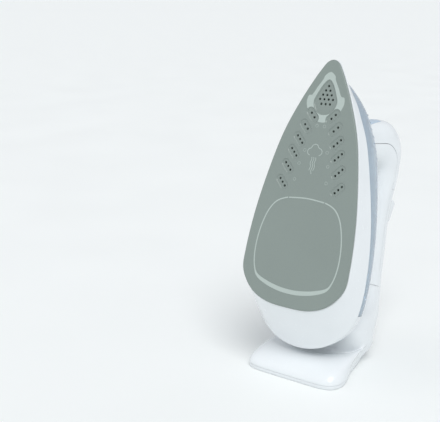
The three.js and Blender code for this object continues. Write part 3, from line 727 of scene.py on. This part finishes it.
def tank_dash(side, s, long):
    """A printed dash that lies on the tank's side, along its slope."""
    half_width = 0.35
    inside = 0.12
    rings = []
    for degrees in (34, 38, 42, 46, 50) if long else (34, 38, 42):
        angle = math.radians(degrees)
        line = grow(blend(RIM, TOP, 1 - math.cos(angle)), -0.36)[:OUTLINE_POINTS // 2]
        near = min(line, key=lambda p: abs(p.y - s))
        start = waterline(near.y) + GAP
        x = side * near.x
        t = start + (TANK_TOP - start) * math.sin(angle)
        deep_x = x - side * inside
        deep_t = t - inside
        rings.append([
            own(x, t, s - half_width), own(x, t, s + half_width),
            own(deep_x, deep_t, s + half_width), own(deep_x, deep_t, s - half_width),
        ])
    return skin("dash", rings)


def top_deck():
    rings = [level(TOP, TANK_TOP + GAP), level(TOP, TANK_TOP + 2.2)]
    for i in range(1, 7):
        angle = math.radians(15 * i)
        rings.append(level(grow(TOP, -2.2 * (1 - math.cos(angle))), TANK_TOP + 2.2 + 2.5 * math.sin(angle)))
    deck = common(skin("deck_plate", rings), front_of(HOUSING_CUT + GAP / 2))
    return smooth(cut(
        deck,
        post("shaft", 0, DIAL_S, [(4, 40), (4, 80)]),
        post("rod", 0, ROD_S, [(3, 40), (3, 80)]),
        post("mouth", 0, MOUTH_S, [(8, 40), (8, 80)])), 35)


# ---------------------------------------------------------------- handle, column and heel

def place_standing(y_behind, height):
    """A place behind the heel's front edge and above the floor, as (s, t)."""
    y = y_behind + HEEL_FRONT
    z = height - SOLE_REAR_HEIGHT
    return (y * math.sin(LEAN) + z * math.cos(LEAN), y * math.cos(LEAN) - z * math.sin(LEAN))


# From the foot of the front pillar, over the handle and down the column:
# outer point (s, t), inner point (s, t) and half width.
STATIONS = [
    ((182, 63), (146, 63), 15),
    ((191, 84), (147, 80), 18),
    ((195.5, 109.5), (147, 91), 21.5),
    ((181.5, 131.5), (144, 98), 22.6),
    ((155, 137.7), (138, 101), 22),
    ((138, 136.2), (130, 102.5), 22),
    ((121, 134.6), (118, 103), 21.5),
    ((97, 136.6), (96, 103.5), 21),
    ((70, 142), (70, 105), 21),
    ((49, 142.2), (48, 106), 22.5),
    ((29.5, 138.4), (32, 104), 26.5),
    (place_standing(126, 41), (23, 97), 32),
    (place_standing(120.5, 32), (14, 80), 36.5),
    (place_standing(116, 25.5), (7, 60), 39.5),
    (place_standing(111.5, 18.5), (-8, 50), 41),
    (place_standing(107.5, 11.5), place_standing(49, 30), 41),
    (place_standing(104, 6), place_standing(50, 14), 36),
    (place_standing(102.5, 4.3), place_standing(50, 4.3), 33),
]
OUTER = [Vector((s, t, width)) for (s, t), _, width in STATIONS]
INNER = [Vector((s, t, 0)) for _, (s, t), _ in STATIONS]
CAP_END = 5.3
COLUMN_START = 9.9
SQUARENESS = 2.5


def power(value):
    return math.copysign(abs(value) ** (2 / SQUARENESS), value)


def section_point(u, across, out, wall):
    outer = curve_point(OUTER, u)
    inner = curve_point(INNER, u)
    half = (outer - inner).xy / 2
    depth = half.length
    middle = (outer + inner).xy / 2
    place = middle + half * (out * (depth - wall) / depth)
    return own(across * (outer.z - wall), place.y, place.x)


def full_section(u, wall=0.0):
    angles = [2 * math.pi * i / SECTION_POINTS for i in range(SECTION_POINTS)]
    return [section_point(u, power(math.cos(a)), power(math.sin(a)), wall) for a in angles]


def half_section(u, side, wall, split):
    steps = SECTION_POINTS // 2
    points = []
    for i in range(steps + 1):
        angle = math.pi * i / steps
        out = split if i in (0, steps) else max(split, power(math.sin(angle)))
        points.append(section_point(u, power(math.cos(angle)), side * out, wall))
    return points


def steps_between(start, end, fine=8):
    count = max(2, round((end - start) * fine))
    return [start + (end - start) * i / count for i in range(count + 1)]


def half_shell(name, start, end, side):
    """One half of the handle's skin, outer (1) or inner (-1), as a hollow moulding."""
    rings = []
    for u in steps_between(start, end):
        outer = half_section(u, side, 0, 0.01)
        inner = half_section(u, side, WALL, 0.01)
        rings.append(outer + inner[::-1])
    count = len(rings[0])
    half = count // 2
    points = [point for ring in rings for point in ring]
    faces = []
    for r in range(len(rings) - 1):
        for i in range(count):
            a = r * count + i
            b = r * count + (i + 1) % count
            faces.append((a, b, b + count, a + count))
    for first in (0, len(points) - count):
        for i in range(half - 1):
            faces.append((first + i, first + i + 1, first + count - 2 - i, first + count - 1 - i))
    return make_object(name, points, faces)


def heel_slab():
    """The heel's crowned slab with the ring-shaped dip round the column's foot."""
    low = HEEL_BASE + GAP
    rings = [floor_ring(HEEL_FOOT, low - SPARE)]
    for i in range(19):
        angle = math.radians(5 * i)
        points = blend(HEEL_FOOT, HEEL_TOP, 1 - math.cos(angle))
        rings.append(floor_ring(points, low + (HEEL_CREST - low) * math.sin(angle)))
    slab = skin("heel_slab", rings)
    dip_radius = 31.5
    dip_height = 25
    tube = 10.3
    dip = []
    for i in range(32):
        angle = 2 * math.pi * i / 32
        radius = dip_radius + tube * math.cos(angle)
        height = dip_height + tube * math.sin(angle)
        ring = []
        for k in range(96):
            turn = 2 * math.pi * k / 96
            y = COLUMN_Y + HEEL_FRONT + radius * math.sin(turn)
            ring.append(standing(radius * math.cos(turn), y, height))
        dip.append(ring)
    return cut(slab, skin("dip", dip, closed=True))


def rear_housing_blank():
    """Body rear, column and heel in one hollow moulding, with softened joins.

    The pieces are made a little long, and are trimmed where they meet their neighbours
    after the softening, so that those edges stay crisp.
    """
    last = len(STATIONS) - 1
    leg = skin("rear_shell", [full_section(u) for u in steps_between(COLUMN_START - 0.3, last, 6)])
    body = common(shoulder("body_rear", 0.4, TANK_TOP), behind(HOUSING_CUT + SPARE))
    shell = join(leg, body, heel_slab())
    remesh = shell.modifiers.new("weld", "REMESH")
    remesh.mode = "VOXEL"
    remesh.voxel_size = REMESH_SIZE * MM
    soften = shell.modifiers.new("soften", "SMOOTH")
    soften.factor = 0.5
    soften.iterations = 30
    settle(shell)
    column_top = [full_section(u, -8) for u in (COLUMN_START - 0.8, COLUMN_START + 0.02)]
    trims = [
        skin("column_trim", column_top),
        box("body_trim", (-80, -10, HOUSING_CUT - GAP / 2), (80, DECK_TOP + GAP, 260)),
        box("floor_trim", (-80, -20, -10), (80, 150, HEEL_BASE + GAP), standing),
    ]
    leg_stations = steps_between(COLUMN_START - 0.1, last - 0.01, 6)
    rooms = [
        skin("leg_room", [full_section(u, WALL + 0.4) for u in leg_stations]),
        common(shoulder("body_cavity", 0.4 + WALL, TANK_TOP - WALL, 3), behind(HOUSING_CUT - WALL)),
        skin("slab_room", [floor_ring(grow(HEEL_FOOT, 3), height) for height in (0, 10)]),
    ]
    return cut(shell, *trims, *rooms)


def cover_room(margin):
    low = (-15 - margin, HEEL_FRONT + 110, 28 - margin)
    high = (15 + margin, HEEL_FRONT + 170, 63 + margin)
    return box("cover_room", low, high, standing)


def at_gland(x, up, back):
    """A point round the middle of the gland's ball."""
    return standing(x, GLAND_Y + back, GLAND_Z + up)


def along_cord(x, back, up):
    return at_gland(x, up, back)


def gland_room():
    ball = turned("gland_ball", arc_profile(7.5, 24), 40, at_gland)
    slot = box("slot", (-5.2, GLAND_Y, GLAND_Z - 10), (5.2, GLAND_Y + 30, GLAND_Z + 10), standing)
    return join(ball, rounded(slot, 1.5))


def arc_profile(radius, steps):
    """Half a circle from near the bottom to near the top, as (radius, height)."""
    limit = 88
    points = []
    for i in range(steps + 1):
        angle = math.radians(-limit + 2 * limit * i / steps)
        points.append((radius * math.cos(angle), radius * math.sin(angle)))
    return points


def screw_hole(x, radius, low, high):
    def place(across, height, back):
        return standing(x + across, SCREW_Y + back, height)

    return turned("screw_hole", [(radius, low), (radius, high)], 32, place)


def heel_base_cover():
    """The plate under the heel, with counterbored holes for its two screws."""
    edge = [(1.6, 0), (1.0, 0.25), (0.6, 0.7), (0.45, 1.3), (0.3, 2.4), (0.25, 3.5), (0.4, 3.85), (0.75, 4)]
    cover = skin("base_cover", [floor_ring(grow(HEEL_FOOT, inset), height) for inset, height in edge])
    for x in (-SCREW_X, SCREW_X):
        cut(cover, screw_hole(x, 2.1, -1, 5))
        cut(cover, screw_hole(x, 4.2, -1, 2))
    return smooth(cover, 50)


# ---------------------------------------------------------------- small pieces

def filler_room(margin):
    return box("filler_room", (-9 - margin, 74 - margin, 175), (9 + margin, 94 + margin, 215))


def button_room():
    return box("button_room", (-17, 126, 97), (17, 160, 121.6))


def lens_room(margin):
    return box("lens_room", (-3 - margin, 130, 54 - margin), (3 + margin, 150, 66 + margin))


def side_profile(name, points, start, end):
    """A flat shape in the s, t plane, from one x to another."""
    rings = [[own(x, t, s) for s, t in points] for x in (start, end)]
    return skin(name, rings)


def thumb_button(name, side):
    """The wedge-shaped button, crowned on top, with a soft front lip."""
    rear_s = 98
    pivot_t = 131
    reach = 23
    half_width = 16.5
    seam = 0.15
    front = []
    for degrees in range(-5, 26, 3):
        angle = math.radians(degrees)
        front.append((rear_s + reach * math.cos(angle), pivot_t + reach * math.sin(angle)))
    top = [(117.6, 141.6), (114, 141.0), (108, 139.4), (102, 137.9), (99.2, 137.1), (98.1, 136)]
    wedge = [(rear_s, 129)] + front + top
    low, high = (seam, half_width) if side > 0 else (-half_width, -seam)
    return smooth(rounded(side_profile(name, wedge, low, high), 1.5, 5, 30), 40)


def slider():
    """The steam slider's crowned knob with four grip grooves, on a stem through its slot."""
    knob = side_profile("slider_knob", [
        (144, 138.3), (154, 138.3), (152.8, 140.9), (151.4, 141.9),
        (149, 142.1), (146.6, 141.9), (145.2, 140.9),
    ], -7, 7)
    rounded(knob, 0.5)
    for offset in (-2.4, -0.8, 0.8, 2.4):
        cut(knob, box("groove", (-5.5, 141.5, 148.7 + offset), (5.5, 143, 149.3 + offset)))
    return smooth(join(knob, box("stem", (-2, 128, 146.4), (2, 139, 151.6))), 40)


def dial():
    """A ribbed disc with a crowned top and a pointer ridge."""
    ribs = 60
    rings = []
    for height, inset in [(63, 0.5), (63.4, 0.1), (66, 0), (68, 0.2), (68.8, 0.9), (69.0, 2)]:
        ring = []
        for i in range(ribs * 6):
            angle = 2 * math.pi * i / (ribs * 6)
            depth = 0.35 * (1 - math.cos(ribs * angle)) if inset < 1.5 else 0
            radius = 20 - inset - depth
            ring.append(own(radius * math.cos(angle), height, DIAL_S + radius * math.sin(angle)))
        rings.append(ring)
    disc = skin("dial_disc", rings)
    crown = post("crown", 0, DIAL_S, [(17, 64), (17, 70.1), (16.7, 70.6), (16, 70.9), (13, 71)], 96)
    pointer = box("pointer", (-0.8, 70.5, DIAL_S + 6), (0.8, 71, DIAL_S + 16.4))
    return smooth(join(disc, crown, pointer), 40)


def at_nozzle(x, s, up):
    """A point round the spray nozzle's axis."""
    return own(x, NOZZLE_T + up, s)


def nozzle():
    profile = [(3.4, 180.8), (3.4, 185.4), (3.1, 185.8), (2.4, 188.4), (2.1, 189), (1.6, 189.2)]
    tip = turned("spray_tip", profile, 48, at_nozzle)
    bore = turned("bore", [(0.6, 187), (0.75, 190)], 20, at_nozzle)
    return smooth(cut(tip, bore), 40)


def gland():
    """The cord's ball joint with its ribbed sleeve."""
    ball = turned("gland_body", arc_profile(7, 30), 48, at_gland)
    profile = [(4.4, 0)]
    for rib in range(5):
        low = 6 + 1.6 * rib
        profile += [(4.4, low), (4.1, low + 0.25), (4.1, low + 0.9), (4.4, low + 1.15)]
    profile += [(4.3, 13.8), (4.0, 14)]
    sleeve = turned("sleeve", profile, 48, along_cord)
    bore = turned("bore", [(3, -20), (3, 20)], 32, along_cord)
    return smooth(cut(join(ball, sleeve), bore), 40)


# ---------------------------------------------------------------- materials

def scaled(colour, factor):
    return tuple(channel * factor for channel in colour)


def moulding(name, colour, roughness, coat=0.25):
    """Glossy injection-moulded plastic: faint flow shade, orange peel and fine rub marks."""
    shader = Shader(name, colour, roughness)
    shader.soft_edges(EDGE_SOFTNESS)
    shader.set("Coat Weight", coat)
    shader.set("Coat Roughness", 0.08)
    shader.set("IOR", 1.5)
    shader.colour_from(shader.mix(shader.spread(shader.noise(38, 3), 0, 1), scaled(colour, 0.975), colour))
    rub = shader.noise(700, 6, 0.6, (1, 1, 0.2))
    shader.roughness_from(shader.spread(rub, roughness - 0.02, roughness + 0.04, 0.35, 0.7))
    shader.bump(shader.noise(1300, 2), 0.000006)
    shader.bump(shader.noise(16, 1), 0.00003, 0.4)
    return shader.material


def matte_moulding(name, colour, roughness=0.55):
    """Unpolished plastic with a spark-eroded grain."""
    shader = Shader(name, colour, roughness)
    shader.soft_edges(EDGE_SOFTNESS)
    shader.colour_from(shader.mix(shader.spread(shader.noise(60, 4), 0, 1), scaled(colour, 0.9), colour))
    shader.roughness_from(shader.spread(shader.noise(500, 4), roughness - 0.08, roughness + 0.1))
    shader.bump(shader.noise(2400, 3), 0.00003)
    return shader.material


def sole_coating():
    """Satin coating: fine mineral grain, faint strokes along the sole, a few pale rub marks."""
    colour = SOLE_COLOUR
    shader = Shader("sole_coating", colour, 0.36)
    shader.soft_edges(EDGE_SOFTNESS)
    shader.set("Coat Weight", 0.2)
    shader.set("Coat Roughness", 0.3)
    grain = shader.spread(shader.noise(2600, 3), 0, 1, 0.35, 0.7)
    strokes = shader.spread(shader.noise(420, 5, 0.6, (1, 1, 0.03)), 0, 1, 0.35, 0.75)
    grained = shader.mix(grain, scaled(colour, 0.94), scaled(colour, 1.05))
    shader.colour_from(shader.mix(shader.spread(shader.noise(14, 2), 0, 0.5), grained, scaled(colour, 1.07)))
    shader.roughness_from(shader.spread(strokes, 0.3, 0.44, 0, 1))
    shader.bump(shader.noise(1900, 4), 0.00001)
    shader.bump(strokes, 0.000004)
    return shader.material


def print_ink(name, colour):
    shader = Shader(name, colour, 0.42)
    worn = shader.spread(shader.noise(700, 5, 0.7), 0, 0.5, 0.45, 0.8)
    shader.colour_from(shader.mix(worn, colour, scaled(colour, 0.9)))
    shader.roughness_from(shader.spread(shader.noise(300, 3), 0.38, 0.5))
    shader.bump(shader.noise(1500, 3), 0.000008)
    return shader.material


def tank_plastic(name, colour, transmission=0.45, roughness=0.16):
    """Translucent tinted plastic, slightly cloudy, with mould flow in its surface."""
    shader = Shader(name, colour, roughness)
    shader.soft_edges(EDGE_SOFTNESS)
    shader.set("IOR", 1.49)
    shader.set("Transmission Weight", transmission)
    cloud = shader.spread(shader.noise(28, 3), 0, 1)
    shader.colour_from(shader.mix(cloud, scaled(colour, 0.94), colour))
    shader.roughness_from(shader.spread(shader.noise(180, 5), roughness - 0.04, roughness + 0.08))
    shader.bump(shader.noise(900, 2), 0.00001)
    shader.bump(shader.noise(25, 2), 0.00005, 0.5)
    return shader.material


def metal(name, colour, roughness, strokes=(1, 1, 0.1)):
    """Bare metal with drawn strokes, handling haze and slight relief."""
    shader = Shader(name, colour, roughness, 1.0)
    haze = shader.spread(shader.noise(50, 4), 0, 1)
    shader.colour_from(shader.mix(haze, scaled(colour, 0.88), colour))
    drawn = shader.noise(900, 5, 0.6, strokes)
    shader.roughness_from(shader.spread(drawn, roughness - 0.08, roughness + 0.12))
    shader.bump(drawn, 0.000012)
    return shader.material


def rubber(name, colour, roughness=0.6, subsurface=0.0):
    shader = Shader(name, colour, roughness)
    shader.set("Subsurface Weight", subsurface)
    shader.set("Subsurface Scale", 0.002)
    dust = shader.spread(shader.noise(120, 5), 0, 0.6, 0.45, 0.8)
    shader.colour_from(shader.mix(dust, colour, tuple(0.9 * c + 0.05 for c in colour)))
    shader.roughness_from(shader.spread(shader.noise(400, 4), roughness - 0.08, roughness + 0.1))
    shader.bump(shader.noise(1800, 3), 0.00003)
    return shader.material


def ceramic():
    shader = Shader("ceramic", (0.8, 0.78, 0.72), 0.65)
    grain = shader.spread(shader.noise(900, 5), 0, 1)
    shader.colour_from(shader.mix(grain, (0.72, 0.69, 0.62), (0.84, 0.82, 0.77)))
    shader.roughness_from(shader.spread(shader.noise(300, 4), 0.5, 0.75))
    shader.bump(shader.noise(1500, 4), 0.00004)
    return shader.material


# ---------------------------------------------------------------- the whole iron

WHITE = (0.82, 0.855, 0.875)
SOLE_COLOUR = (0.225, 0.27, 0.25)
PRINT_COLOUR = (0.44, 0.51, 0.48)

make_camera()
make_studio()

# One material for each material slot, and two inks.
LOOKS = {
    "white_shell": moulding("white_shell", WHITE, 0.24),
    "white_base": moulding("white_base", scaled(WHITE, 0.96), 0.34, coat=0.1),
    "sole_coating": sole_coating(),
    "ink": print_ink("sole_ink", PRINT_COLOUR),
    "mark_ink": print_ink("mark_ink", (0.16, 0.24, 0.33)),
    "tank": tank_plastic("tank", (0.60, 0.72, 0.83)),
    "blue_control": moulding("blue_control", (0.50, 0.62, 0.74), 0.28),
    "grey_plastic": matte_moulding("grey_plastic", (0.30, 0.33, 0.35)),
    "amber_lens": tank_plastic("amber_lens", (0.9, 0.42, 0.05), 0.6, 0.14),
    "dark_rubber": rubber("dark_rubber", (0.02, 0.02, 0.022)),
    "silicone": rubber("silicone", (0.66, 0.68, 0.66), 0.5, 0.2),
    "aluminium": metal("aluminium", (0.72, 0.73, 0.74), 0.38),
    "steel": metal("steel", (0.56, 0.57, 0.58), 0.32),
    "brass": metal("brass", (0.72, 0.52, 0.22), 0.3, (1, 0.1, 1)),
    "ceramic": ceramic(),
}

housing = rear_housing_blank()
cover = common(copy(housing, "rear_panel"), cover_room(-GAP / 2))
cut(cover, gland_room())
cut(housing, cover_room(GAP / 2), gland_room())
cap = half_shell("cap_shell", 0, CAP_END, 1)
lid = common(copy(cap, "lid_shell"), filler_room(-GAP / 2))
nozzle_hole = turned("nozzle_hole", [(3.8, 175), (3.8, 195)], 40, at_nozzle)
slot = box("slider_slot", (-2.4, 120, 146), (2.4, 150, 160))
cut(cap, filler_room(GAP / 2), slot, nozzle_hole)
upper = half_shell("grip_upper", CAP_END + 0.02, COLUMN_START, 1)
lens = common(copy(upper, "lens"), lens_room(-GAP / 2))
cut(upper, button_room(), lens_room(GAP / 2))
lower = half_shell("grip_lower", 0, COLUMN_START, -1)

# Each finished piece: the node it stands for, its body and its material slot.
PIECES = [
    (soleplate(), "soleplate", "iron", "sole_coating"),
    (keep_inside(skirt()), "skirt", "iron", "white_shell"),
    (water_tank(), "water_tank", "iron", "tank"),
    (top_deck(), "top_deck", "iron", "white_shell"),
    (smooth(keep_inside(cap)), "front_cap", "iron", "white_shell"),
    (smooth(lid), "filler_lid", "filler_lid", "blue_control"),
    (smooth(upper), "handle_upper", "iron", "white_shell"),
    (smooth(lens), "indicator_lens", "iron", "amber_lens"),
    (smooth(lower), "handle_lower", "iron", "white_shell"),
    (smooth(housing), "rear_housing", "iron", "white_shell"),
    (smooth(cover), "rear_cover", "iron", "white_shell"),
    (heel_base_cover(), "heel_base_cover", "iron", "white_base"),
    (thumb_button("thumb_button_right", 1), "spray_button", "spray_button", "white_shell"),
    (thumb_button("thumb_button_left", -1), "shot_button", "shot_button", "white_shell"),
    (slider(), "steam_slider", "steam_slider", "blue_control"),
    (dial(), "temperature_dial", "temperature_dial", "blue_control"),
    (nozzle(), "spray_nozzle", "iron", "grey_plastic"),
    (gland(), "cord_gland", "cord_gland", "dark_rubber"),
]
for piece, node, body, slot_name in PIECES:
    piece.data.materials.clear()
    piece.data.materials.append(LOOKS[slot_name])
    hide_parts(node)
    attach(piece, body)

ink = sole_print()
ink.data.materials.append(LOOKS["ink"])
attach(ink, "iron")
marks = level_marks()
marks.data.materials.append(LOOKS["mark_ink"])
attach(marks, "iron")

SLOTS = {part["node"]: part["material_slot"] for part in frame["record"]["subparts"]}
replaced = [node for _, node, _, _ in PIECES]
for name, node in frame["nodes"].items():
    if name not in replaced:
        node.data.materials.clear()
        node.data.materials.append(LOOKS[SLOTS[name]])
